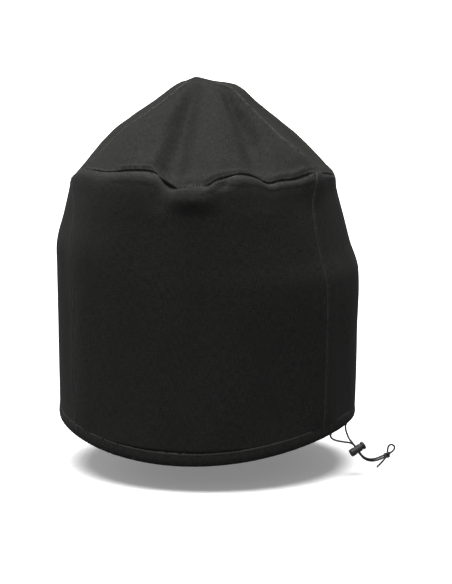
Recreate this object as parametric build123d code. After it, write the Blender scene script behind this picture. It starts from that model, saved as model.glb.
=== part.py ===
"""Round grill cover: sewn crown and skirt, taped seams, drawcord hem, elastic cord and sliding cord lock.

Row frame: +X right, -Y front, +Z up, in millimetres. The origin is where the lid handle of a grill
holds up the inside of the crown, so the whole cover hangs below z = 0.
"""

from build123d import *
import math
import os

# ---- driving dimensions -------------------------------------------------------------------------
FABRIC = 1.2              # wall of the coated fabric
HEM_FRONT_Z = -794.0      # lowest point of the hem, front and back
HEM_SIDE_RISE = 50.0      # how much higher the hem is at the sides
HEM_HEIGHT = 28.0
HEM_THICK = 8.0           # two plies with the drawcord between them
HEM_FOLD = 3.0            # folded plies along the lower edge
CORD_D = 4.0
SEAM_AZIMUTHS = {"front_right": 61.0, "back_right": 119.0, "back_left": 241.0, "front_left": 299.0}
TAPE_WIDTH = 20.0
TAPE_THICK = 0.6
EXIT_AZIMUTHS = {"front": 66.0, "rear": 80.0}    # where the drawcord leaves the hem

# Height, half width along X and half depth along Y of the outside of the fabric.
LEVELS = [
    (-830.0, 323.0, 306.0),     # below the hem, so that the hem cut trims it
    (-385.0, 330.0, 300.0),     # widest, over the side shelves of the grill
    (-222.0, 286.0, 284.0),     # shoulder, on the rim of the lid
    (-99.0, 178.0, 170.0),      # on the dome of the lid
    (-16.0, 74.0, 34.0),
    (FABRIC, 52.0, 12.0),       # along the lid handle
]
SHOULDER_Z = LEVELS[2][0]
HEM_RX = LEVELS[0][1] + 1.0
HEM_RY = LEVELS[0][2]

# Cord lock, in its own frame: x along the barrel, y along the cords, z across them.
LOCK_CENTRE = Vector(343.4, -81.6, -794.6)
LOCK_CORD_WAY = Vector(0.558, -0.065, -0.828)    # from the hem side to the knot side
LOCK_BARREL_WAY = Vector(0.720, 0.533, 0.444)    # towards the button
LOCK_STRAIGHT = 16.0                             # straight run of cord each way from the centre
BARREL_R = 8.5
BARREL_BORE = 6.3
BARREL_BACK = -15.0
BARREL_FRONT = 11.0
BARREL_FLOOR = 2.5
STEM_R = 6.1
CAP_R = 9.0
CAP_THICK = 5.0
PRESS_TRAVEL = 4.1
SLOT_HALF = PRESS_TRAVEL         # half length of the cord slot along the barrel
SLOT_ACROSS = 4.7                # half width of the slot, for two cords side by side
CORD_X = PRESS_TRAVEL / 2        # where the cords lie, clamped between the two slots
CORD_OFF = CORD_D / 2 + 0.05     # half the spacing of the two cords

# Free ends of the cord, as route points in the row frame.
FRONT_DROP = 6.5         # straight down out of the eyelet
REAR_DROP = 9.0
FRONT_ROUTE = [(299.5, -115.6, -767.0), (317.0, -98.0, -774.5)]
REAR_ROUTE = [(319.5, -60.5, -764.5), (326.0, -71.0, -774.0)]
TAIL_ROUTE = [(365.1, -77.8, -815.9), (377.5, -75.6, -817.7), (389.4, -71.5, -815.3), (398.7, -67.8, -811.3)]
TAIL_SPREAD = [(-0.40, 0.54, -0.74), (-0.08, 0.25, -0.96), (0.22, 0.10, -0.97), (0.38, 0.0, -0.92)]
TAIL_OFF = CORD_D / 2 + 0.3      # half the spacing of the two cords beyond the lock
KNOT_CENTRE = Vector(408.7, -64.0, -807.1)
KNOT_WAY = Vector(0.870, 0.330, 0.365)           # along the cords where they enter the knot
KNOT_R = 8.0
KNOT_GRIP = 5.0                  # the cords end this far from the knot's centre
LOOP_WAY = Vector(0.460, 0.244, 0.853)
LOOP_SIDE = Vector(0.871, 0.061, -0.487)
LOOP_SIDE_SHAPE = [(5.0, 2.6), (11.0, 5.6), (18.0, 7.4), (24.5, 4.2)]
LOOP_SHAPE = LOOP_SIDE_SHAPE + [(along, -across) for along, across in reversed(LOOP_SIDE_SHAPE)]
TAIL_END = [(407.5, -69.0, -810.5), (403.8, -73.0, -814.6), (396.6, -76.3, -823.0), (388.3, -78.8, -831.6)]


# ---- helpers ------------------------------------------------------------------------------------
def filled(inset):
    """The whole cover as a filled body, with its outside moved in by inset."""
    rings = []
    for z, rx, ry in LEVELS:
        level = z - inset if z > 0 else z
        rings.append(Plane((0, 0, level)) * Ellipse(rx - inset, ry - inset))
    return loft(rings, ruled=True)


def layer(outer, inner):
    """The shell between two insets."""
    return filled(outer) - filled(inner)


HEM_ARC_R = (HEM_RX**2 + HEM_SIDE_RISE**2) / (2 * HEM_SIDE_RISE)
HEM_ARC_Z = HEM_FRONT_Z + HEM_ARC_R


def above_hem(lift):
    """Everything higher than the hem line raised by lift. The line is an arc about an axis along Y."""
    return Plane((0, 0, HEM_ARC_Z), z_dir=(0, 1, 0)) * Cylinder(HEM_ARC_R - lift, 2000)


def slab(low, high):
    """All of the space between two heights."""
    return Pos(0, 0, (low + high) / 2) * Box(2000, 2000, high - low)


def around(azimuth, radius=1.0, z=0.0):
    """A point at an azimuth from the front, turning towards the right."""
    a = math.radians(azimuth)
    return Vector(radius * math.sin(a), -radius * math.cos(a), z)


def sector(start, end):
    """A wedge about the Z axis between two azimuths less than 180 degrees apart."""
    middle = (start + end) / 2
    far = 1500.0
    points = [Vector(0, 0), around(start, far), around(middle, far), around(end, far)]
    outline = Polyline(*points, close=True)
    return Pos(0, 0, -1000) * extrude(make_face(outline), 1200)


def seam_slab(azimuth, width):
    """A thin upright slab from the Z axis out past one seam."""
    return Rot(0, 0, azimuth - 90) * Pos(500, 0, -500) * Box(1000, width, 1200)


def hem_point(azimuth, lift=0.0, inset=HEM_THICK / 2):
    """A point of the hem band at a height above its lower edge."""
    a = math.radians(azimuth)
    x, y = (HEM_RX - inset) * math.sin(a), -(HEM_RY - inset) * math.cos(a)
    return Vector(x, y, HEM_ARC_Z - math.sqrt((HEM_ARC_R - lift) ** 2 - x**2))


def bend_radii(points, share=0.45):
    """The largest arc for each corner of a route that its two runs allow."""
    radii = []
    for a, b, c in zip(points, points[1:], points[2:]):
        into, out = b - a, c - b
        turn = math.radians(into.get_angle(out))
        radii.append(share * min(into.length, out.length) / math.tan(turn / 2))
    return radii


def tube(name, points, radii=None):
    """A round cord along straight runs and tangent arcs."""
    radii = radii or bend_radii(points)
    path = FilletPolyline(*points, radius=radii)
    start = Plane(origin=path @ 0, z_dir=path % 0)
    solid = sweep(start * Circle(CORD_D / 2), path=path)
    share = solid.volume / (math.pi * CORD_D**2 / 4 * path.length)
    rounded = [round(r) for r in radii]
    print(f"{name}: length {path.length:.1f}, volume share {share:.3f}, radii {rounded}")
    return solid


# ---- fabric -------------------------------------------------------------------------------------
def fabric_nodes():
    wall = layer(0, FABRIC)
    skirt = wall & slab(-900, SHOULDER_Z) & above_hem(HEM_HEIGHT)
    crown = wall & slab(SHOULDER_Z, 10)
    edges = list(SEAM_AZIMUTHS.values())
    spans = {
        "front": (edges[3] - 360, edges[0]),
        "right": (edges[0], edges[1]),
        "back": (edges[1], edges[2]),
        "left": (edges[2], edges[3]),
    }
    nodes = {}
    for side, (start, end) in spans.items():
        nodes[f"skirt_{side}"] = skirt & sector(start, end)
        nodes[f"crown_{side}"] = crown & sector(start, end)
    return nodes


def tape_nodes():
    """Seam tapes on the inside of the fabric, over every sewn seam."""
    tape = layer(FABRIC, FABRIC + TAPE_THICK)
    round_band = slab(SHOULDER_Z - TAPE_WIDTH / 2, SHOULDER_Z + TAPE_WIDTH / 2)
    top_clear = 30.0
    nodes = {"shoulder_seam_tape": tape & round_band}
    upper = slab(SHOULDER_Z + TAPE_WIDTH / 2, -top_clear)
    lower = slab(-900, SHOULDER_Z - TAPE_WIDTH / 2) & above_hem(HEM_HEIGHT)
    for name, azimuth in SEAM_AZIMUTHS.items():
        strip = tape & seam_slab(azimuth, TAPE_WIDTH)
        nodes[f"crown_seam_tape_{name}"] = strip & upper
        nodes[f"skirt_seam_tape_{name}"] = strip & lower
    return nodes


EYELET_R = 3.0
EYELET_FLANGE_R = 3.8
EYELET_FLANGE = 0.8
EYELET_DEEP = 3.0
EYELET_SINK = 1.2                # how far its flange is pressed into the fold


def eyelet_places():
    """Planes in the lower edge of the hem, facing down, where the cord leaves."""
    sink = Vector(0, 0, EYELET_SINK)
    return {name: Plane(origin=hem_point(a) + sink, z_dir=(0, 0, -1)) for name, a in EXIT_AZIMUTHS.items()}


def eyelet():
    """A pressed eyelet about the local z axis, with its flange against the plane z = 0."""
    barrel = Pos(0, 0, -EYELET_DEEP / 2) * Cylinder(EYELET_R, EYELET_DEEP)
    flange = Pos(0, 0, EYELET_FLANGE / 2) * Cylinder(EYELET_FLANGE_R, EYELET_FLANGE)
    return barrel + flange - Cylinder(CORD_D / 2 + 0.1, 20)


def hem_node():
    """The folded hem: outer ply, fold and inner ply round a channel for the drawcord."""
    band = layer(0, HEM_THICK) & (above_hem(0) - above_hem(HEM_HEIGHT))
    channel = layer(FABRIC, HEM_THICK - FABRIC) & (above_hem(HEM_FOLD) - above_hem(HEM_HEIGHT - FABRIC))
    hem = band - channel
    for place in eyelet_places().values():
        hem -= place * Cylinder(EYELET_R, 2 * EYELET_DEEP)
        hem -= place * Pos(0, 0, EYELET_DEEP) * Cylinder(EYELET_FLANGE_R, 2 * EYELET_DEEP)
    return hem


# ---- drawcord -----------------------------------------------------------------------------------
def drawcord_node():
    """The cord inside the hem, from one eyelet round the cover to the other."""
    steps = 60
    mid = HEM_HEIGHT / 2
    inset = HEM_THICK / 2 - 0.25        # the corners lie a little outside the smooth curve
    start, end = EXIT_AZIMUTHS["rear"], EXIT_AZIMUTHS["front"] + 360
    places = eyelet_places()
    first, last = places["rear"], places["front"]
    points = [first.origin + first.z_dir * EYELET_FLANGE]
    points += [hem_point(start, mid)]
    points += [hem_point(start + (end - start) * i / steps, mid, inset) for i in range(1, steps)]
    points += [hem_point(end, mid)]
    points += [last.origin + last.z_dir * EYELET_FLANGE]
    corner = 2.4 * CORD_D
    radii = bend_radii(points)
    radii[0] = radii[-1] = corner
    radii[1] = radii[-2] = 8 * corner
    return tube("drawcord", points, radii)


def lock_plane():
    return Plane(origin=LOCK_CENTRE, x_dir=LOCK_BARREL_WAY, z_dir=LOCK_BARREL_WAY.cross(LOCK_CORD_WAY))


def strand(place, drop, route, side):
    """Points of one cord from its eyelet to the middle of the lock, and from there to the knot."""
    lock = lock_plane()
    start = place.origin + place.z_dir * EYELET_FLANGE
    steps = (-LOCK_STRAIGHT, 0, LOCK_STRAIGHT)
    inside = [lock.from_local_coords((CORD_X, y, side * CORD_OFF)) for y in steps]
    last = KNOT_CENTRE - KNOT_WAY * KNOT_GRIP + Vector(*TAIL_SPREAD[-1]) * side * TAIL_OFF
    upper = [start, start + place.z_dir * drop] + [Vector(*p) for p in route] + inside[:2]
    lower = inside[1:] + [Vector(*p) + Vector(*s) * side * TAIL_OFF for p, s in zip(TAIL_ROUTE, TAIL_SPREAD)]
    return upper, lower + [last]


def cord_nodes():
    places = eyelet_places()
    loop = [KNOT_CENTRE + LOOP_WAY * along + LOOP_SIDE * across for along, across in LOOP_SHAPE]
    front_upper, front_lower = strand(places["front"], FRONT_DROP, FRONT_ROUTE, -1)
    rear_upper, rear_lower = strand(places["rear"], REAR_DROP, REAR_ROUTE, 1)
    return {
        "drawcord": drawcord_node(),
        "cord_end_front": tube("cord_end_front", front_upper),
        "cord_end_rear": tube("cord_end_rear", rear_upper),
        "cord_pull_front": tube("cord_pull_front", front_lower),
        "cord_pull_rear": tube("cord_pull_rear", rear_lower),
        "cord_loop": tube("cord_loop", loop),
        "cord_tail": tube("cord_tail", [Vector(*p) for p in TAIL_END]),
        "cord_knot": Pos(*KNOT_CENTRE) * Sphere(KNOT_R),
    }


# ---- cord lock ----------------------------------------------------------------------------------
def along_x(radius, low, high):
    """A cylinder about the local x axis."""
    return Pos((low + high) / 2, 0, 0) * Rot(0, 90, 0) * Cylinder(radius, high - low)


def cord_slot(middle):
    """The slot for two cords, straight through along local y."""
    outline = Pos(middle, 0, 0) * Rot(90, 0, 0) * RectangleRounded(2 * SLOT_HALF, 2 * SLOT_ACROSS, 1.5)
    return extrude(outline, 30, both=True)


def lock_barrel():
    barrel = along_x(BARREL_R, BARREL_BACK, BARREL_FRONT)
    barrel = fillet(barrel.edges().sort_by(Axis.X)[0], 1.2)
    bore = along_x(BARREL_BORE, BARREL_BACK + BARREL_FLOOR, BARREL_FRONT + 1)
    return barrel - bore - cord_slot(0)


def lock_button():
    """Stem and cap, at rest with its slot shifted from the barrel's by the press travel."""
    stem_back = -3.0
    cap_under = BARREL_FRONT + PRESS_TRAVEL + 0.4
    cap = along_x(CAP_R, cap_under, cap_under + CAP_THICK)
    cap = fillet(cap.edges().sort_by(Axis.X)[-1], 1.5)
    return along_x(STEM_R, stem_back, cap_under) + cap - cord_slot(PRESS_TRAVEL)


def lock_spring():
    """Coil between the barrel's floor and the stem."""
    wire = 0.45
    low, high = BARREL_BACK + BARREL_FLOOR + wire, -3.0 - wire
    coil = Helix(pitch=1.9, height=high - low, radius=4.2)
    start = Plane(origin=coil @ 0, z_dir=coil % 0)
    spring = sweep(start * Circle(wire), path=coil, is_frenet=True)
    return Pos(low, 0, 0) * Rot(0, 90, 0) * spring


def main():
    nodes = {**fabric_nodes(), **tape_nodes(), "hem_channel": hem_node(), **cord_nodes()}
    for name, place in eyelet_places().items():
        nodes[f"eyelet_{name}"] = place * eyelet()
    place = lock_plane().location
    nodes["lock_barrel"] = place * lock_barrel()
    nodes["lock_button"] = place * lock_button()
    nodes["lock_spring"] = place * lock_spring()
    os.makedirs("parts", exist_ok=True)
    for name, shape in nodes.items():
        export_step(shape, f"parts/{name}.step")


main()
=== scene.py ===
"""Looks of the draped grill cover: folded fabric panels, hem, seams, tapes, elastic cords, knot and cord lock."""

import math

import bmesh
import bpy
import numpy as np
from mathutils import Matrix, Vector, noise


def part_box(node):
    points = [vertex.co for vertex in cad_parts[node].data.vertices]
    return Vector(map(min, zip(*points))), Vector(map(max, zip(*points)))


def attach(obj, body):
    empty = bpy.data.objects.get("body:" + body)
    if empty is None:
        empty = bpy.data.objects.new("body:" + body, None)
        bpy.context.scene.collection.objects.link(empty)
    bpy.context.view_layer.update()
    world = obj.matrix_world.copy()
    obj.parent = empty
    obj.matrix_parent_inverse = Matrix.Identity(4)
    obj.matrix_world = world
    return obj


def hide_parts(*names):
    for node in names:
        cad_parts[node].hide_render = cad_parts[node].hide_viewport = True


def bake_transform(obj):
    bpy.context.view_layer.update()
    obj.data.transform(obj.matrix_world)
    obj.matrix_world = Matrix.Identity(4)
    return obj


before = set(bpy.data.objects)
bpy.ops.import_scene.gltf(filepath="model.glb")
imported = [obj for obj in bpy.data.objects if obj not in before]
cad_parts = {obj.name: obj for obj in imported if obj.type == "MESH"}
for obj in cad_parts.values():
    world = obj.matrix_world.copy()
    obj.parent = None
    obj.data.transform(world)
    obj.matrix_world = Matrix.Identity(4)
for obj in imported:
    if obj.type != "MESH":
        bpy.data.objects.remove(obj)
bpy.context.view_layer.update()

MM = 0.001
FLOOR_Z = -852.0                  # the cover is held up by its crown, clear of this
CAMERA_AZIMUTH = 10.0
CAMERA_AWAY = 7000.0
CAMERA_UP = 1680.0                # above the floor
AIM_Z = -473.0
AIM_RIGHT = 41.6
VIEW_HEIGHT = 1279.0              # what the picture's height covers at the object

FABRIC = 1.2
HEM_FRONT_Z = -794.0
HEM_SIDE_RISE = 50.0
HEM_HEIGHT = 28.0
HEM_RX = 324.0
HEM_RY = 306.0
TAPE_WIDTH = 20.0
CORD_R = 2.0

# Crown levels from the lid handle down: middle x, reach to the left, right, front and back, and height.
CROWN_LEVELS = [
    (-24, 3, 5, 3, 3, 0),
    (-15, 31, 32, 17, 16, -8),
    (0, 73, 70, 44, 42, -19),
    (0, 125, 114, 99, 94, -57),
    (0, 189, 165, 157, 150, -100),
    (0, 229, 211, 212, 206, -141),
]
# Skirt levels below the shoulder.
SKIRT_LEVELS = [
    (0, 301, 283, 291, 288, -243),
    (0, 312, 296, 294, 291, -292),
    (0, 328, 313, 298, 296, -358),
    (0, 328, 331, 301, 299, -418),
    (0, 327, 329, 303, 301, -560),
    (0, 325, 326, 305, 304, -700),
]
# Where the crown is sewn to the skirt: azimuth, distance from the middle, and height.
SHOULDER_SEAM = [
    (-180, 268, -192), (-150, 272, -200), (-112, 281, -207), (-84, 294, -222), (-61, 278, -187), (-40, 265, -181),
    (-22, 262, -171), (-14, 262, -174), (-9, 267, -187), (-4, 274, -203), (2, 277, -202), (10, 277, -201),
    (15, 271, -185), (21, 266, -177), (27, 263, -173), (34, 262, -179), (40, 266, -195), (46, 267, -193),
    (55, 268, -194), (66, 271, -190), (80, 274, -195), (96, 276, -209), (124, 271, -198), (152, 270, -187),
]
CREASES = [(-24, 11, 1.0), (16, 7, 0.9), (32, 9, 0.9), (52, 12, 1.0), (84, 9, 0.4), (142, 14, 0.9), (-152, 16, 0.8)]

# The cord lock's own frame: x along the barrel, y along the cords, z across them.
LOCK_CENTRE = Vector((343.4, -81.6, -794.6))
LOCK_X = Vector((0.720, 0.533, 0.444)).normalized()
LOCK_Z = LOCK_X.cross(Vector((0.558, -0.065, -0.828))).normalized()
LOCK_Y = LOCK_Z.cross(LOCK_X)
LOCK_STRAIGHT = 16.0
CORD_OFF = 2.05
TAIL_OFF = 2.3

FRONT_DROP = 6.5
REAR_DROP = 9.0
FRONT_ROUTE = [(299.5, -115.6, -767.0), (317.0, -98.0, -774.5)]
REAR_ROUTE = [(319.5, -60.5, -764.5), (326.0, -71.0, -774.0)]
TAIL_ROUTE = [(365.1, -77.8, -815.9), (377.5, -75.6, -817.7), (389.4, -71.5, -815.3), (398.7, -67.8, -811.3)]
TAIL_SPREAD = [(-0.40, 0.54, -0.74), (-0.08, 0.25, -0.96), (0.22, 0.10, -0.97), (0.38, 0.0, -0.92)]
KNOT_CENTRE = Vector((408.7, -64.0, -807.1))
KNOT_WAY = Vector((0.870, 0.330, 0.365))
KNOT_GRIP = 5.0
LOOP_WAY = Vector((0.460, 0.244, 0.853))
LOOP_SIDE = Vector((0.871, 0.061, -0.487))
LOOP_SIDE_SHAPE = [(5.0, 2.6), (11.0, 5.6), (18.0, 7.4), (24.5, 4.2)]
LOOP_SHAPE = LOOP_SIDE_SHAPE + [(along, -across) for along, across in reversed(LOOP_SIDE_SHAPE)]
TAIL_END = [(407.5, -69.0, -810.5), (403.8, -73.0, -814.6), (396.6, -76.3, -823.0), (388.3, -78.8, -831.6)]


# ---- materials ----------------------------------------------------------------------------------
class Nodes:
    """A small helper for building one material's node tree."""

    def __init__(self, name):
        self.material = bpy.data.materials.new(name)
        self.material.use_nodes = True
        self.tree = self.material.node_tree
        self.shader = self.tree.nodes["Principled BSDF"]

    def add(self, kind, **inputs):
        node = self.tree.nodes.new(kind)
        for name, value in inputs.items():
            self.set(node.inputs[name.replace("_", " ")], value)
        return node

    def set(self, socket, value):
        if isinstance(value, bpy.types.NodeSocket):
            self.tree.links.new(value, socket)
        else:
            socket.default_value = value

    def math(self, operation, a, b=0.0):
        node = self.tree.nodes.new("ShaderNodeMath")
        node.operation = operation
        self.set(node.inputs[0], a)
        self.set(node.inputs[1], b)
        return node.outputs[0]

    def mix(self, factor, a, b):
        node = self.tree.nodes.new("ShaderNodeMix")
        node.data_type = "RGBA"
        self.set(node.inputs["Factor"], factor)
        self.set(node.inputs["A"], a)
        self.set(node.inputs["B"], b)
        return node.outputs["Result"]

    def ramp(self, value, low, high):
        node = self.add("ShaderNodeMapRange", Value=value, From_Min=low, From_Max=high)
        return node.outputs[0]

    def stretched_noise(self, vector, scale, detail=2.0):
        """Noise with its own scale along each axis of vector."""
        mapping = self.add("ShaderNodeMapping", Vector=vector, Scale=scale)
        return self.add("ShaderNodeTexNoise", Vector=mapping.outputs[0], Scale=1.0, Detail=detail).outputs["Fac"]

    def wave(self, vector, scale, direction):
        node = self.add("ShaderNodeTexWave", Vector=vector, Scale=scale)
        node.bands_direction = direction
        return node.outputs["Fac"]


def fabric(name, colour, worn):
    """Coated woven polyester: plain weave, slubs, faint mottling and paler worn edges. UVs are in metres."""
    n = Nodes(name)
    uv = n.add("ShaderNodeTexCoord").outputs["UV"]
    warp = n.wave(uv, 95.0, "X")
    weft = n.wave(uv, 95.0, "Y")
    weave = n.math("MAXIMUM", warp, weft)
    slub_across = n.stretched_noise(uv, (70.0, 620.0, 1.0), 4.0)
    slub_along = n.stretched_noise(uv, (620.0, 70.0, 1.0), 4.0)
    slubs = n.math("ADD", slub_across, slub_along)
    mottling = n.stretched_noise(uv, (9.0, 6.0, 1.0), 4.0)
    edge = n.add("ShaderNodeAttribute")
    edge.attribute_name = "worn"
    rubbed = n.math("MULTIPLY", edge.outputs["Fac"], n.ramp(slub_along, 0.35, 0.62))
    pale = [c * 1.6 for c in colour[:3]] + [1.0]
    deep = [c * 0.55 for c in colour[:3]] + [1.0]
    threads = n.mix(n.ramp(slubs, 0.72, 1.28), deep, pale)
    broad = n.mix(n.math("MULTIPLY", n.ramp(mottling, 0.3, 0.7), 0.5), threads, (*colour[:3], 1.0))
    n.set(n.shader.inputs["Base Color"], n.mix(rubbed, broad, (*worn, 1.0)))
    n.set(n.shader.inputs["Roughness"], n.ramp(slubs, -1.2, 1.9))
    relief = n.math("ADD", n.math("MULTIPLY", weave, 0.6), n.math("MULTIPLY", slubs, 0.8))
    bump = n.add("ShaderNodeBump", Height=relief, Strength=0.55, Distance=0.0003)
    n.set(n.shader.inputs["Normal"], bump.outputs[0])
    n.set(n.shader.inputs["Specular IOR Level"], 0.05)
    n.set(n.shader.inputs["IOR"], 1.3)
    n.set(n.shader.inputs["Sheen Weight"], 0.02)
    n.set(n.shader.inputs["Sheen Roughness"], 0.45)
    return n.material


def coated_tape(name):
    """Heat-sealed tape: satin film with shallow creases."""
    n = Nodes(name)
    uv = n.add("ShaderNodeTexCoord").outputs["UV"]
    creases = n.stretched_noise(uv, (160.0, 60.0, 1.0), 5.0)
    colour = n.mix(n.ramp(creases, 0.3, 0.7), (0.026, 0.026, 0.027, 1), (0.04, 0.04, 0.04, 1))
    n.set(n.shader.inputs["Base Color"], colour)
    n.set(n.shader.inputs["Roughness"], n.ramp(creases, -0.2, 1.4))
    bump = n.add("ShaderNodeBump", Height=creases, Strength=0.4, Distance=0.0006)
    n.set(n.shader.inputs["Normal"], bump.outputs[0])
    return n.material


def braid(name):
    """Braided sheath of the elastic: two crossing sets of yarns. UVs run once round and along in metres."""
    n = Nodes(name)
    uv = n.add("ShaderNodeTexCoord").outputs["UV"]
    split = n.add("ShaderNodeSeparateXYZ", Vector=uv)
    turns = n.math("MULTIPLY", split.outputs[0], 16 * math.pi)
    along = n.math("MULTIPLY", split.outputs[1], 3600.0)
    left = n.math("SINE", n.math("ADD", turns, along))
    right = n.math("SINE", n.math("SUBTRACT", turns, along))
    yarns = n.math("MAXIMUM", left, right)
    fuzz = n.stretched_noise(uv, (30.0, 900.0, 1.0), 3.0)
    colour = n.mix(n.ramp(yarns, -0.3, 1.0), (0.006, 0.006, 0.006, 1), (0.022, 0.022, 0.022, 1))
    n.set(n.shader.inputs["Base Color"], colour)
    n.set(n.shader.inputs["Roughness"], n.ramp(fuzz, -1.0, 1.4))
    bump = n.add("ShaderNodeBump", Height=yarns, Strength=0.7, Distance=0.0003)
    n.set(n.shader.inputs["Normal"], bump.outputs[0])
    n.set(n.shader.inputs["Sheen Weight"], 0.15)
    return n.material


def moulded(name, colour, grain, roughness):
    """Moulded plastic or paint: fine grain, faint flow marks."""
    n = Nodes(name)
    place = n.add("ShaderNodeTexCoord").outputs["Object"]
    fine = n.stretched_noise(place, (grain, grain, grain), 4.0)
    flow = n.stretched_noise(place, (90.0, 90.0, 240.0), 2.0)
    pale = [c * 1.5 for c in colour] + [1.0]
    n.set(n.shader.inputs["Base Color"], n.mix(n.ramp(flow, 0.3, 0.75), (*colour, 1.0), pale))
    n.set(n.shader.inputs["Roughness"], n.ramp(fine, 0.5 - roughness, 1.5 - roughness))
    bump = n.add("ShaderNodeBump", Height=fine, Strength=0.25, Distance=0.0002)
    n.set(n.shader.inputs["Normal"], bump.outputs[0])
    return n.material


def spring_steel(name):
    n = Nodes(name)
    place = n.add("ShaderNodeTexCoord").outputs["Object"]
    drawn = n.stretched_noise(place, (3000.0, 3000.0, 200.0), 3.0)
    n.set(n.shader.inputs["Base Color"], n.mix(drawn, (0.42, 0.42, 0.43, 1), (0.62, 0.62, 0.63, 1)))
    n.set(n.shader.inputs["Metallic"], 1.0)
    n.set(n.shader.inputs["Roughness"], n.ramp(drawn, -0.6, 2.4))
    return n.material


MATERIALS = {
    # The crown is the same fabric as the skirt; its colour is painted a little lighter as painted light, standing in
    # for its upward-facing slopes catching more of the overhead light.
    "crown": fabric("crown_fabric", (0.0245, 0.0245, 0.0232), (0.10, 0.10, 0.095)),
    "skirt": fabric("skirt_fabric", (0.0225, 0.0225, 0.0218), (0.10, 0.10, 0.095)),
    "hem": fabric("hem_fabric", (0.0225, 0.0225, 0.0218), (0.06, 0.06, 0.058)),
    "tape": coated_tape("seam_tape"),
    "thread": braid("sewing_thread"),
    "cord": braid("elastic_cord"),
    "eyelet": moulded("eyelet_paint", (0.035, 0.035, 0.035), 2500.0, 0.6),
    "lock": moulded("lock_plastic", (0.020, 0.020, 0.020), 4000.0, 0.55),
    "button": moulded("button_plastic", (0.024, 0.024, 0.024), 4000.0, 0.5),
    "spring": spring_steel("spring_steel"),
}


# ---- shape of the draped cover ------------------------------------------------------------------
def hermite(knots, points, at):
    """Smooth curve through points[k] at knots[k]; points may hold one column per value of at."""
    knots = np.asarray(knots, float)
    slope = np.empty_like(points)
    slope[1:-1] = (points[2:] - points[:-2]) / (knots[2:] - knots[:-2]).reshape(-1, *[1] * (points.ndim - 1))
    slope[0] = (points[1] - points[0]) / (knots[1] - knots[0])
    slope[-1] = (points[-1] - points[-2]) / (knots[-1] - knots[-2])
    i = np.clip(np.searchsorted(knots, at, side="right") - 1, 0, len(knots) - 2)
    width = knots[i + 1] - knots[i]
    t = (at - knots[i]) / width
    pick = (i, np.arange(len(at))) if points.ndim > 1 else (i,)
    after = (i + 1, *pick[1:])
    if points.ndim > 2:
        t, width = t[:, None], width[:, None]
    h = 3 * t**2 - 2 * t**3
    rise = (t**3 - 2 * t**2 + t) * width * slope[pick] + (t**3 - t**2) * width * slope[after]
    return points[pick] * (1 - h) + points[after] * h + rise


def turned(azimuth, middle=0.0):
    """An azimuth within half a turn of the middle."""
    return (azimuth - middle + 180.0) % 360.0 - 180.0


def seam_ring(azimuth):
    """Distance from the middle and height of the shoulder seam."""
    table = np.array(SHOULDER_SEAM, float)
    table = np.vstack([table[-2:] - (360, 0, 0), table, table[:2] + (360, 0, 0)])
    at = turned(azimuth)
    return hermite(table[:, 0], table[:, 1], at), hermite(table[:, 0], table[:, 2], at)


def hem_z(azimuth):
    """Height of the hem's lower edge, an arc that rises to both sides."""
    radius = (HEM_RX**2 + HEM_SIDE_RISE**2) / (2 * HEM_SIDE_RISE)
    x = HEM_RX * np.sin(np.radians(azimuth))
    return HEM_FRONT_Z + radius - np.sqrt(radius**2 - x**2)


def ring(level, azimuth):
    """Points of one level, an oval with its own reach to each side."""
    middle, left, right, front, back, z = level
    s, c = np.sin(np.radians(azimuth)), np.cos(np.radians(azimuth))
    x = middle + np.where(s > 0, right, left) * s
    y = -np.where(c > 0, front, back) * c
    return np.stack([x, y, np.broadcast_to(np.asarray(z, float), x.shape)], -1)


def at_seam(azimuth):
    radius, z = seam_ring(azimuth)
    a = np.radians(azimuth)
    return np.stack([radius * np.sin(a), -radius * np.cos(a), z], -1)


CROWN_KNOTS = [0.0, 0.08, 0.22, 0.42, 0.64, 0.82, 1.0]
SKIRT_KNOTS = [1.0, 1.03, 1.09, 1.18, 1.30, 1.40, 1.64, 1.87, 2.0]


def smooth_surface(azimuth, s):
    """The cover with no folds: s is 0 at the top, 1 at the shoulder seam and 2 at the hem's edge."""
    seam = at_seam(azimuth)
    crown = np.stack([*[ring(level, azimuth) for level in CROWN_LEVELS], seam])
    shoulder = ring(SKIRT_LEVELS[0], azimuth)
    over_rim = seam + (shoulder - seam) * (0.66, 0.66, 0.30)
    bottom = ring((0, HEM_RX, HEM_RX, HEM_RY, HEM_RY, hem_z(azimuth)), azimuth)
    skirt = np.stack([seam, over_rim, *[ring(level, azimuth) for level in SKIRT_LEVELS], bottom])
    upper = hermite(CROWN_KNOTS, crown, np.minimum(s, 1.0))
    lower = hermite(SKIRT_KNOTS, skirt, np.maximum(s, 1.0))
    return np.where((s <= 1.0)[:, None], upper, lower)


def hill(value, middle, half):
    """A smooth hill of height 1, half as wide as half on each side."""
    d = np.clip(np.abs(value - middle) / half, 0, 1)
    return 0.5 + 0.5 * np.cos(np.pi * d)


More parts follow.
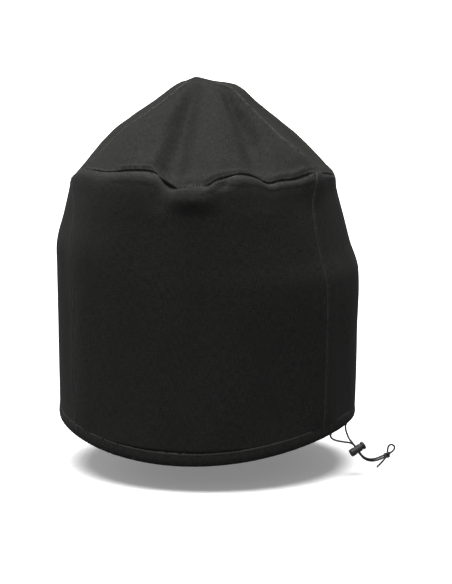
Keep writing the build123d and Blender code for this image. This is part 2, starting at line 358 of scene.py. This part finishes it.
def crown_folds(azimuth, s):
    """Folds that hang between the lid handle and the rim of the lid."""
    t = np.minimum(s, 1.0)
    deep = [0.12, 0.30, 0.50, 0.72, 0.90, 1.0]
    folds = np.zeros_like(t)
    for middles, depths, halves in (
        ([-14, -13, -11, -9, -8, -8], [0, -13, -25, -30, -27, -9], [26, 18, 15, 13, 11, 8]),
        ([36, 38, 41, 42, 38, 34], [0, -8, -19, -24, -17, -4], [14, 13, 13, 13, 12, 11]),
        ([18, 18, 18, 17, 14, 8], [0, 4, 8, 10, 9, 4], [30, 26, 24, 22, 18, 14]),
        ([-46, -44, -40, -36, -32, -30], [0, 2, 5, 7, 7, 2], [30, 26, 24, 22, 20, 18]),
        ([-15, -15, -16, -17, -18, -18], [0, 0, 0, 4, 6, 1], [8, 8, 8, 6, 5, 5]),
        ([66, 66, 67, 68, 68, 67], [0, 1, 3, 9, 17, 6], [26, 24, 22, 20, 17, 16]),
        ([-82, -84, -88, -92, -96, -98], [0, -3, -6, -8, -8, -3], [26, 22, 20, 18, 16, 14]),
        ([84, 82, 78, 76, 76, 76], [0, -2, -6, -8, -6, -2], [24, 20, 18, 16, 16, 14]),
        ([150, 150, 148, 146, 143, 142], [0, -9, -16, -18, -15, -6], [34, 26, 22, 18, 14, 12]),
        ([208, 206, 204, 200, 196, 194], [0, -8, -15, -18, -17, -7], [32, 24, 20, 17, 14, 10]),
        ([178, 178, 176, 174, 172, 170], [0, 4, 8, 9, 8, 3], [34, 26, 22, 20, 18, 14]),
    ):
        middle = np.interp(t, deep, middles)
        half = np.interp(t, deep, halves)
        folds += np.interp(t, deep, depths) * hill(turned(azimuth, middle), 0.0, half)
    return folds


def shoulder_folds(azimuth, s):
    """The lip of the crown over its seam, the creases under it and the pouch at the front."""
    folds = np.zeros_like(s)
    for middle, half, strength in CREASES:
        here = strength * np.clip(2.2 * hill(turned(azimuth, middle), 0.0, half * 1.4), 0, 1)
        folds += here * (4.0 * hill(s, 0.972, 0.03) - 7.0 * hill(s, 1.0008, 0.0075) + 2.0 * hill(s, 1.02, 0.02))
    pouch = hill(turned(azimuth, 4), 0.0, 17)
    folds += pouch * (6.0 * hill(s, 0.97, 0.07) + 9.0 * hill(s, 1.055, 0.07))
    folds -= 7.0 * hill(turned(azimuth, 17.5), 0.0, 5.5) * hill(s, 1.022, 0.022)
    folds += 4.0 * hill(turned(azimuth, -12), 0.0, 5) * hill(s, 1.0, 0.06)
    return folds


def skirt_folds(azimuth, s):
    """Long shallow waves of the hanging skirt, and pulls from the side handles."""
    v = np.clip(s - 1.0, 0.0, 1.0)
    a = np.radians(azimuth)
    rise = np.clip((v - 0.08) / 0.5, 0, 1) * np.clip((0.97 - v) / 0.1, 0, 1)
    waves = 1.5 * np.sin(7 * a + 0.6) + 1.2 * np.sin(11 * a + 2.2 + 1.2 * v) + 0.8 * np.sin(17 * a + 4.0 - 2.0 * v)
    left_pull = -5.0 * hill(turned(azimuth, -66 + 10 * v), 0.0, 13) * hill(v, 0.25, 0.30)
    right_pull = -5.0 * hill(turned(azimuth, 78 - 8 * v), 0.0, 14) * hill(v, 0.30, 0.34)
    return rise * waves + left_pull + right_pull


def wrinkles(points, s, seam_near):
    """Fine unevenness of the cloth, puckers beside seams and gathers above the drawn hem."""
    out = np.empty(len(points))
    for i, (x, y, z) in enumerate(points):
        hanging = 1.0 if s[i] > 1.0 else 0.6
        broad = noise.noise(Vector((x / 75, y / 75, z / (260 if s[i] > 1.0 else 90) + 7)))
        small = noise.noise(Vector((x / 21, y / 21, z / (60 if s[i] > 1.0 else 26) + 31)))
        pucker = noise.noise(Vector((x / 9, y / 9, z / 7 + 77)))
        gather = noise.noise(Vector((x / 8, y / 8, z / 150 + 3)))
        near_hem = max(0.0, 1.0 - (2.0 - s[i]) / 0.16)
        out[i] = 2.3 * hanging * broad + 0.55 * small + 0.9 * seam_near[i] * pucker + 1.5 * near_hem**2 * gather
    return out


def normals_of(azimuth, s):
    """Outward unit normals of the smooth surface."""
    s_low, s_high = np.clip(s - 0.012, 0.004, 2.0), np.clip(s + 0.012, 0.004, 2.0)
    around = smooth_surface(azimuth + 0.4, np.maximum(s, 0.01)) - smooth_surface(azimuth - 0.4, np.maximum(s, 0.01))
    down = smooth_surface(azimuth, s_high) - smooth_surface(azimuth, s_low)
    normal = np.cross(down, around)
    return normal / np.maximum(np.linalg.norm(normal, axis=1), 1e-9)[:, None]


def surface(azimuth, s, lift=0.0, seam_near=None):
    """Points of the folded cover in millimetres, raised by lift along the normal."""
    azimuth, s = np.broadcast_arrays(np.asarray(azimuth, float), np.asarray(s, float))
    shape = azimuth.shape
    azimuth, s = azimuth.ravel(), s.ravel()
    seam_near = np.zeros_like(s) if seam_near is None else seam_near.ravel()
    base = smooth_surface(azimuth, s)
    fade = np.clip(s / 0.25, 0, 1)
    push = crown_folds(azimuth, s) * np.clip((1.12 - s) / 0.12, 0, 1)
    push += shoulder_folds(azimuth, s) + skirt_folds(azimuth, s)
    push += wrinkles(base, s, seam_near) * np.clip(0.25 + fade, 0, 1)
    points = base + normals_of(azimuth, s) * (push + lift)[:, None]
    return points.reshape(*shape, 3)


# ---- panels -------------------------------------------------------------------------------------
SETTLE = 0.10                     # how far down the skirt its front seams settle


def front_left_seam(s):
    skirt = -53.0 - 25.0 * np.exp(-(s - 1.0) / SETTLE)
    return np.where(s <= 1.0, -61.0 + 17.0 * hill(s, 0.24, 0.62), skirt)


def front_right_seam(s):
    skirt = 60.0 + 8.0 * np.exp(-(s - 1.0) / SETTLE)
    return np.where(s <= 1.0, 61.0 + 7.0 * s**2 - 10.0 * hill(s, 0.10, 0.42), skirt)


SEAMS = {
    "front_left": front_left_seam,
    "front_right": front_right_seam,
    "back_right": lambda s: np.full_like(s, 119.0),
    "back_left": lambda s: np.full_like(s, 241.0),
}
PANELS = {
    "front": ("front_left", "front_right", 0.0),
    "right": ("front_right", "back_right", 0.0),
    "back": ("back_right", "back_left", 0.0),
    "left": ("back_left", "front_left", 360.0),
}
HEM_TOP = 2.0 - 0.05
CROWN_ROWS = np.concatenate([np.linspace(0, 0.94, 64), np.linspace(0.95, 1.0, 22)])
SKIRT_ROWS = np.concatenate([np.linspace(1.0, 1.06, 26), np.linspace(1.066, HEM_TOP + 0.01, 96)])


def new_piece(name, vertices, faces, material, uvs=None, worn=None):
    """A mesh object from millimetre coordinates, smooth shaded, with one UV and one wear value per vertex."""
    mesh = bpy.data.meshes.new(name)
    corners = [[int(corner) for corner in face] for face in faces]
    mesh.from_pydata((np.asarray(vertices) * MM).tolist(), [], corners)
    mesh.materials.append(material)
    mesh.polygons.foreach_set("use_smooth", [True] * len(mesh.polygons))
    if uvs is not None:
        layer = mesh.uv_layers.new(name="UVMap")
        used = np.empty(len(mesh.loops), int)
        mesh.loops.foreach_get("vertex_index", used)
        layer.data.foreach_set("uv", np.asarray(uvs)[used].ravel())
    if worn is not None:
        mesh.attributes.new("worn", "FLOAT", "POINT").data.foreach_set("value", np.asarray(worn, float))
    mesh.update()
    piece = bpy.data.objects.new(name, mesh)
    bpy.context.collection.objects.link(piece)
    return piece


def grid_faces(rows, columns, closed=False):
    """Quads of a grid, facing out when rows run down and columns run with azimuth."""
    r, c = np.meshgrid(np.arange(rows - 1), np.arange(columns if closed else columns - 1), indexing="ij")
    after = (c + 1) % columns
    quads = [r * columns + c, (r + 1) * columns + c, (r + 1) * columns + after, r * columns + after]
    return np.stack(quads, -1).reshape(-1, 4)


def lengths(points, axis):
    """Distances along a grid's axis, added up from its start."""
    steps = np.linalg.norm(np.diff(points, axis=axis), axis=2)
    start = np.zeros_like(np.take(steps, [0], axis))
    return np.concatenate([start, np.cumsum(steps, axis)], axis)


def apply_modifiers(piece):
    bpy.context.view_layer.objects.active = piece
    for modifier in list(piece.modifiers):
        bpy.ops.object.modifier_apply(modifier=modifier.name)


def thicken(piece, thickness):
    modifier = piece.modifiers.new("cloth", "SOLIDIFY")
    modifier.thickness = thickness * MM
    modifier.offset = -1.0
    modifier.use_even_offset = False
    apply_modifiers(piece)


def panel(name, side, rows, material):
    """One sewn panel between two seams, with its edges rolled where it is topstitched."""
    start, end, turn = PANELS[side]
    columns = 124 if side in ("front", "back") else 64
    q = np.linspace(0, 1, columns)[None, :]
    left, right = SEAMS[start](rows)[:, None], SEAMS[end](rows)[:, None] + turn
    azimuth = left + (right - left) * q
    s = np.broadcast_to(rows[:, None], azimuth.shape)
    smooth = smooth_surface(azimuth.ravel(), s.ravel().copy()).reshape(*azimuth.shape, 3)
    across = lengths(smooth, 1)
    down = lengths(smooth, 0)
    from_side = np.minimum(across, across[:, -1:] - across)
    from_shoulder = np.abs(s - 1.0) * 420.0
    seam_near = np.clip(1.0 - from_side / 22.0, 0, 1) + np.clip(1.0 - from_shoulder / 22.0, 0, 1)
    near_top = np.clip((s - 0.06) / 0.1, 0, 1)
    lift = near_top * (1.5 * hill(from_side, 3.2, 3.6) - 0.8 * hill(from_side, 0.0, 1.6))
    points = surface(azimuth, s, lift.ravel(), np.clip(seam_near, 0, 1) * near_top)
    middle = across[:, columns // 2 : columns // 2 + 1]
    uvs = np.stack([(across - middle) * MM, down * MM], -1).reshape(-1, 2)
    worn = np.clip(0.75 * hill(from_side, 1.5, 4.0) + 0.30 * hill(from_shoulder, 2.0, 7.0), 0, 1) * near_top
    piece = new_piece(
        name, points.reshape(-1, 3), grid_faces(*azimuth.shape), material, uvs, worn.ravel()
    )
    thicken(piece, FABRIC)
    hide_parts(name)
    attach(piece, "cover")
    return piece


HEM_OUTLINE = [
    (0.9, 28.6), (1.2, 25.0), (1.9, 19.0), (2.1, 13.0), (1.6, 7.0), (0.2, 2.4), (-2.0, 0.5), (-4.0, 0.0),
    (-6.0, 0.5), (-8.0, 2.4), (-8.9, 7.0), (-9.0, 13.0), (-7.4, 19.0), (-4.0, 24.6), (-2.4, 28.6), (-0.8, 29.2),
]


def hem_points(azimuth, lift, height):
    """Points of the hem band at a lift out of the fabric's face and a height above its lower edge."""
    a = np.radians(azimuth)
    gather = np.array([noise.noise(Vector((x, y, 3.0))) for x, y in zip(40 * np.sin(a), 38 * np.cos(a))])
    pinch = np.array([noise.noise(Vector((x, y, 9.0))) for x, y in zip(14 * np.sin(a), 14 * np.cos(a))])
    out = lift + 1.1 * gather + 0.9 * pinch * height / HEM_HEIGHT
    x, y = (HEM_RX + 0.2 + out) * np.sin(a), -(HEM_RY - 0.3 + out) * np.cos(a)
    return np.stack([x, y, hem_z(azimuth) + height], -1)


def hem():
    """The folded hem, swollen by the drawcord inside it."""
    azimuth = np.linspace(0, 360, 720, endpoint=False)
    outline = np.array(HEM_OUTLINE)
    girth = np.concatenate([[0], np.cumsum(np.linalg.norm(np.diff(outline, axis=0), axis=1))])
    vertices = np.concatenate([hem_points(azimuth, lift, height) for lift, height in outline])
    uvs = np.stack(np.meshgrid(np.radians(azimuth) * 315 * MM, girth * MM), -1).reshape(-1, 2)
    worn = np.repeat([0.5 * (h < 1.0) + 0.45 * (h > 28.0) for h in outline[:, 1]], len(azimuth))
    faces = grid_faces(len(outline), len(azimuth), closed=True)
    piece = new_piece("hem_channel", vertices, faces, MATERIALS["hem"], uvs, worn)
    thicken(piece, FABRIC)
    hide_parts("hem_channel")
    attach(piece, "cover")
    return piece


# ---- seam tapes and stitching -------------------------------------------------------------------
def strip(name, azimuth, s, lift, width, across_rows, material):
    """A band on the inside of the fabric. azimuth and s follow its middle."""
    middle = surface(azimuth, s, lift)
    along = np.gradient(middle, axis=0)
    along /= np.linalg.norm(along, axis=1)[:, None]
    normal = normals_of(azimuth, s)
    side = np.cross(normal, along)
    side /= np.linalg.norm(side, axis=1)[:, None]
    offsets = np.linspace(-width / 2, width / 2, 6)
    run = np.concatenate([[0], np.cumsum(np.linalg.norm(np.diff(middle, axis=0), axis=1))])
    if across_rows:
        steps = offsets / 420.0
        rows = np.stack([surface(azimuth, s + step, lift) for step in steps], 1)
    else:
        radius = np.linalg.norm(middle[:, :2], axis=1)
        rows = np.stack([surface(azimuth + np.degrees(o / radius), s, lift) for o in offsets], 1)
    uvs = np.stack(np.broadcast_arrays(offsets[None, :] * MM, run[:, None] * MM), -1).reshape(-1, 2)
    piece = new_piece(name, rows.reshape(-1, 3), grid_faces(len(middle), 6), material, uvs)
    thicken(piece, -0.5)
    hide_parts(name)
    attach(piece, "cover")
    return piece


def tapes():
    inside = -FABRIC - 0.9
    for name, seam in SEAMS.items():
        upper = np.linspace(0.16, 0.97, 80)
        lower = np.linspace(1.035, HEM_TOP - 0.01, 110)
        strip(f"crown_seam_tape_{name}", seam(upper), upper, inside, TAPE_WIDTH, False, MATERIALS["tape"])
        strip(f"skirt_seam_tape_{name}", seam(lower), lower, inside, TAPE_WIDTH, False, MATERIALS["tape"])
    around = np.linspace(0, 360, 360)
    strip("shoulder_seam_tape", around, np.full(360, 1.0), inside - 1.0, TAPE_WIDTH, True, MATERIALS["tape"])


STITCH = np.array(
    [(-1.3, 0, -0.2), (-0.9, 0.28, 0.12), (-0.9, -0.28, 0.12), (0.9, 0.28, 0.12), (0.9, -0.28, 0.12), (1.3, 0, -0.2)]
)
STITCH_FACES = [(0, 2, 1), (1, 2, 4, 3), (3, 4, 5), (0, 1, 3, 5), (0, 5, 4, 2)]


def stitched(lines):
    """Stitches of one thread along several lines of dense points with normals."""
    pitch = 3.6
    vertices, faces = [], []
    for points, normals in lines:
        run = np.concatenate([[0], np.cumsum(np.linalg.norm(np.diff(points, axis=0), axis=1))])
        places = np.arange(pitch, run[-1] - pitch, pitch)
        centre = np.stack([np.interp(places, run, points[:, k]) for k in range(3)], -1)
        before = np.stack([np.interp(places - 1.0, run, points[:, k]) for k in range(3)], -1)
        normal = np.stack([np.interp(places, run, normals[:, k]) for k in range(3)], -1)
        x = centre - before
        x /= np.linalg.norm(x, axis=1)[:, None]
        y = np.cross(normal, x)
        for c, a, b, n in zip(centre, x, y, normal):
            first = len(vertices) * len(STITCH)
            vertices.append(c + STITCH[:, :1] * a + STITCH[:, 1:2] * b + STITCH[:, 2:] * n)
            faces += [[first + i for i in face] for face in STITCH_FACES]
    return np.concatenate(vertices), faces


def thread_piece(name, lines):
    vertices, faces = stitched(lines)
    mesh = bpy.data.meshes.new(name)
    mesh.from_pydata((vertices * MM).tolist(), [], faces)
    mesh.materials.append(MATERIALS["thread"])
    piece = bpy.data.objects.new(name, mesh)
    bpy.context.collection.objects.link(piece)
    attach(piece, "cover")


def stitching():
    def line(azimuth, s, lift):
        azimuth, s = np.broadcast_arrays(azimuth, s)
        return surface(azimuth, s, lift), normals_of(azimuth.astype(float), s.astype(float))

    def beside(seam, s, side):
        radius = np.linalg.norm(smooth_surface(seam(s), s)[:, :2], axis=1)
        return line(seam(s) + np.degrees(side * 4.0 / radius), s, 1.45)

    upper, lower = np.linspace(0.2, 0.985, 260), np.linspace(1.02, HEM_TOP, 300)
    sides = (-1, 1)
    thread_piece("stitching_crown", [beside(f, upper, k) for f in SEAMS.values() for k in sides])
    thread_piece("stitching_skirt", [beside(f, lower, k) for f in SEAMS.values() for k in sides])
    around = np.linspace(0, 360, 1100)
    thread_piece("stitching_shoulder", [line(around, 1.016, 0.15)])
    rows = []
    for lift, height in ((1.45, 25.2), (1.55, 22.0)):
        points = hem_points(around, lift, height)
        out = np.stack([np.sin(np.radians(around)), -np.cos(np.radians(around)), 0 * around], -1)
        rows.append((points, out))
    thread_piece("stitching_hem", rows)


# ---- cords and knot -----------------------------------------------------------------------------
def smooth_line(points):
    """Points read from a NURBS spline with these control points, in metres."""
    curve = bpy.data.curves.new("route", "CURVE")
    curve.dimensions = "3D"
    curve.resolution_u = 14
    spline = curve.splines.new("NURBS")
    spline.points.add(len(points) - 1)
    for place, point in zip(spline.points, points):
        place.co = (*(Vector(point) * MM), 1.0)
    spline.order_u = 3
    spline.use_endpoint_u = True
    holder = bpy.data.objects.new("route", curve)
    mesh = bpy.data.meshes.new_from_object(holder)
    line = np.array([v.co for v in mesh.vertices])
    bpy.data.objects.remove(holder)
    bpy.data.meshes.remove(mesh)
    return line


def tube(name, line, radius, closed=False, material="cord"):
    """A round tube along a line in metres, with a rounded end at each open side."""
    sides = 20
    count = len(line)
    if closed:
        along = np.roll(line, -1, 0) - np.roll(line, 1, 0)
    else:
        along = np.gradient(line, axis=0)
    along /= np.linalg.norm(along, axis=1)[:, None]
    side = np.cross(along[0], (0.3, 0.2, 0.9))
    rings = []
    for k in range(count):
        side -= along[k] * side.dot(along[k])
        side /= np.linalg.norm(side)
        other = np.cross(along[k], side)
        turn = np.linspace(0, 2 * np.pi, sides, endpoint=False)[:, None]
        rings.append(line[k] + radius * (np.cos(turn) * side + np.sin(turn) * other))
    if not closed:
        for shrink, out in ((0.86, 0.5), (0.45, 0.88)):
            rings.insert(0, line[0] + (rings[0] - line[0]) * shrink - along[0] * radius * out * 0.4)
            rings.append(line[-1] + (rings[-1] - line[-1]) * shrink + along[-1] * radius * out * 0.4)
    rows = len(rings)
    vertices = np.concatenate(rings)
    faces = grid_faces(rows, sides, closed=True).tolist()
    if closed:
        last = (rows - 1) * sides
        faces += [[last + c, c, (c + 1) % sides, last + (c + 1) % sides] for c in range(sides)]
    else:
        faces += [list(range(sides)), [(rows - 1) * sides + c for c in range(sides)][::-1]]
    centres = np.array([r.mean(0) for r in rings])
    run = np.concatenate([[0], np.cumsum(np.linalg.norm(np.diff(centres, axis=0), axis=1))])
    uvs = np.stack(np.broadcast_arrays(np.arange(sides)[None, :] / sides, run[:, None]), -1).reshape(-1, 2)
    piece = new_piece(name, vertices / MM, faces, MATERIALS[material], uvs)
    bm = bmesh.new()
    bm.from_mesh(piece.data)
    bmesh.ops.recalc_face_normals(bm, faces=bm.faces)
    bm.to_mesh(piece.data)
    bm.free()
    return piece


def lock_point(x, y, z):
    return LOCK_CENTRE + LOCK_X * x + LOCK_Y * y + LOCK_Z * z


def exit_of(eyelet):
    """The middle of an eyelet's lower face, in millimetres."""
    low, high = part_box(eyelet)
    return Vector(((low.x + high.x) / 2, (low.y + high.y) / 2, low.z)) / MM


def cord_piece(name, points, ride):
    """One declared length of cord. ride is one body to attach it to; when ride holds two bodies with the points it
    bends between, the cord is only baked in place and attached to neither.
    """
    line = smooth_line(points)
    piece = tube(name, line, CORD_R * MM)
    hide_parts(name)
    if isinstance(ride, str):
        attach(piece, ride)
    else:
        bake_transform(piece)
    return piece


def knot():
    """An overhand knot of the doubled cord, drawn tight."""
    t = np.linspace(0, 2 * np.pi, 160, endpoint=False)
    way = KNOT_WAY.normalized()
    up = (Vector((0, 0, 1)) - way * way.z).normalized()
    out = way.cross(up)
    a, b, c = np.sin(t) + 2 * np.sin(2 * t), np.cos(t) - 2 * np.cos(2 * t), -np.sin(3 * t)
    line = np.array(KNOT_CENTRE) + np.outer(a * 2.35, way) + np.outer(b * 1.75, up) + np.outer(c * 2.1, out)
    piece = tube("cord_knot", line * MM, CORD_R * 0.98 * MM, closed=True)
    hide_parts("cord_knot")
    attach(piece, "cover")
    return piece


def cords():
    tied = knot()
    entry, leave = lock_point(2.05, -LOCK_STRAIGHT, 0), lock_point(2.05, LOCK_STRAIGHT, 0)
    for name, drop, route, side in (("front", FRONT_DROP, FRONT_ROUTE, -1), ("rear", REAR_DROP, REAR_ROUTE, 1)):
        start = exit_of(f"eyelet_{name}")
        middle, before, after = (lock_point(2.05, y, side * CORD_OFF) for y in (0, -LOCK_STRAIGHT, LOCK_STRAIGHT))
        down = start + Vector((0, 0, -drop))
        upper = [start, down, *[Vector(p) for p in route], before, middle]
        spread = [Vector(p) + Vector(w) * side * TAIL_OFF for p, w in zip(TAIL_ROUTE, TAIL_SPREAD)]
        last = KNOT_CENTRE - KNOT_WAY * KNOT_GRIP + Vector(TAIL_SPREAD[-1]) * side * TAIL_OFF
        lower = [middle, after, *spread, last]
        cord_piece(f"cord_end_{name}", upper, ("cover", "cord_lock", start, entry))
        cord_piece(
            f"cord_pull_{name}", lower, ("cord_lock", "cover", leave, KNOT_CENTRE)
        )
    loop = [KNOT_CENTRE + LOOP_WAY * along + LOOP_SIDE * across for along, across in LOOP_SHAPE]
    cord_piece("cord_loop", loop, "cover")
    cord_piece("cord_tail", [Vector(p) for p in TAIL_END], "cover")


SPRING_WIRE = 0.45
SPRING_RADIUS = 4.2
SPRING_PITCH = 1.9
SPRING_BACK = -12.05              # against the barrel's floor
SPRING_FRONT = -3.45              # against the button's stem


def spring():
    """The coil in the lock, which shortens as the button goes in."""
    x = np.linspace(SPRING_BACK, SPRING_FRONT, 160)
    turn = 2 * np.pi * (x - SPRING_BACK) / SPRING_PITCH
    line = [lock_point(a, SPRING_RADIUS * math.cos(t), SPRING_RADIUS * math.sin(t)) for a, t in zip(x, turn)]
    piece = tube("lock_spring", np.array(line) * MM, SPRING_WIRE * MM, material="spring")
    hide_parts("lock_spring")
    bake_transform(piece)


# ---- hard parts, stage and camera ---------------------------------------------------------------
def repaint(node, material):
    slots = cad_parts[node].material_slots
    for slot in slots:
        slot.material = material


def hard_parts():
    for node, material in (
        ("lock_barrel", "lock"),
        ("lock_button", "button"),
        ("eyelet_front", "eyelet"),
        ("eyelet_rear", "eyelet"),
        ("drawcord", "cord"),
    ):
        repaint(node, MATERIALS[material])


def stage():
    """A white floor wide enough to fill the picture. It casts no light of its own on the cover."""
    n = Nodes("paper_floor")
    place = n.add("ShaderNodeTexCoord").outputs["Object"]
    grain = n.stretched_noise(place, (60.0, 60.0, 60.0), 3.0)
    n.set(n.shader.inputs["Base Color"], n.mix(grain, (0.90, 0.90, 0.90, 1), (0.93, 0.93, 0.93, 1)))
    n.set(n.shader.inputs["Roughness"], 0.95)
    n.set(n.shader.inputs["Specular IOR Level"], 0.0)
    n.set(n.shader.inputs["Emission Color"], (1, 1, 1, 1))
    n.set(n.shader.inputs["Emission Strength"], 0.20)
    corners = [(-1, -1), (1, -1), (1, 1), (-1, 1)]
    vertices = [(x * 90000, y * 90000, FLOOR_Z) for x, y in corners]
    floor = new_piece("paper_floor", vertices, [(0, 1, 2, 3)], n.material)
    floor.visible_diffuse = floor.visible_glossy = False


def lights():
    scene = bpy.context.scene
    world = bpy.data.worlds.new("room")
    world.use_nodes = True
    world.node_tree.nodes["Background"].inputs["Color"].default_value = (1, 1, 1, 1)
    world.node_tree.nodes["Background"].inputs["Strength"].default_value = 0.27
    scene.world = world
    overhead = bpy.data.lights.new("overhead", "SUN")
    overhead.energy = 5.6
    overhead.angle = math.radians(55)
    lamp = bpy.data.objects.new("overhead", overhead)
    lamp.rotation_euler = (math.radians(4), math.radians(-5), 0)
    scene.collection.objects.link(lamp)
    side = bpy.data.lights.new("left_panel", "AREA")
    side.shape = "RECTANGLE"
    side.size, side.size_y = 1.2, 2.0
    side.energy = 11
    panel_lamp = bpy.data.objects.new("left_panel", side)
    panel_lamp.location = (-2.6, 0.9, 0.2)
    panel_lamp.rotation_euler = (Vector((0, 0, -0.4)) - panel_lamp.location).to_track_quat("-Z", "Y").to_euler()
    scene.collection.objects.link(panel_lamp)
    scene.view_settings.view_transform = "Standard"
    scene.view_settings.look = "None"


def camera():
    a = math.radians(CAMERA_AZIMUTH)
    back = Vector((math.sin(a), -math.cos(a), 0))
    right = Vector((math.cos(a), math.sin(a), 0))
    target = right * AIM_RIGHT + Vector((0, 0, AIM_Z))
    place = target + back * CAMERA_AWAY
    place.z = FLOOR_Z + CAMERA_UP
    data = bpy.data.cameras.new("camera")
    data.sensor_width = 36.0
    data.lens = data.sensor_width * (target - place).length / VIEW_HEIGHT
    data.clip_end = 300.0
    eye = bpy.data.objects.new("camera", data)
    eye.location = place * MM
    eye.rotation_euler = (target - place).to_track_quat("-Z", "Y").to_euler()
    bpy.context.scene.collection.objects.link(eye)
    bpy.context.scene.camera = eye


def cover():
    for side in PANELS:
        panel(f"crown_{side}", side, CROWN_ROWS, MATERIALS["crown"])
        panel(f"skirt_{side}", side, SKIRT_ROWS, MATERIALS["skirt"])
    hem()
    tapes()
    stitching()


camera()
cords()
spring()
cover()
hard_parts()
stage()
lights()
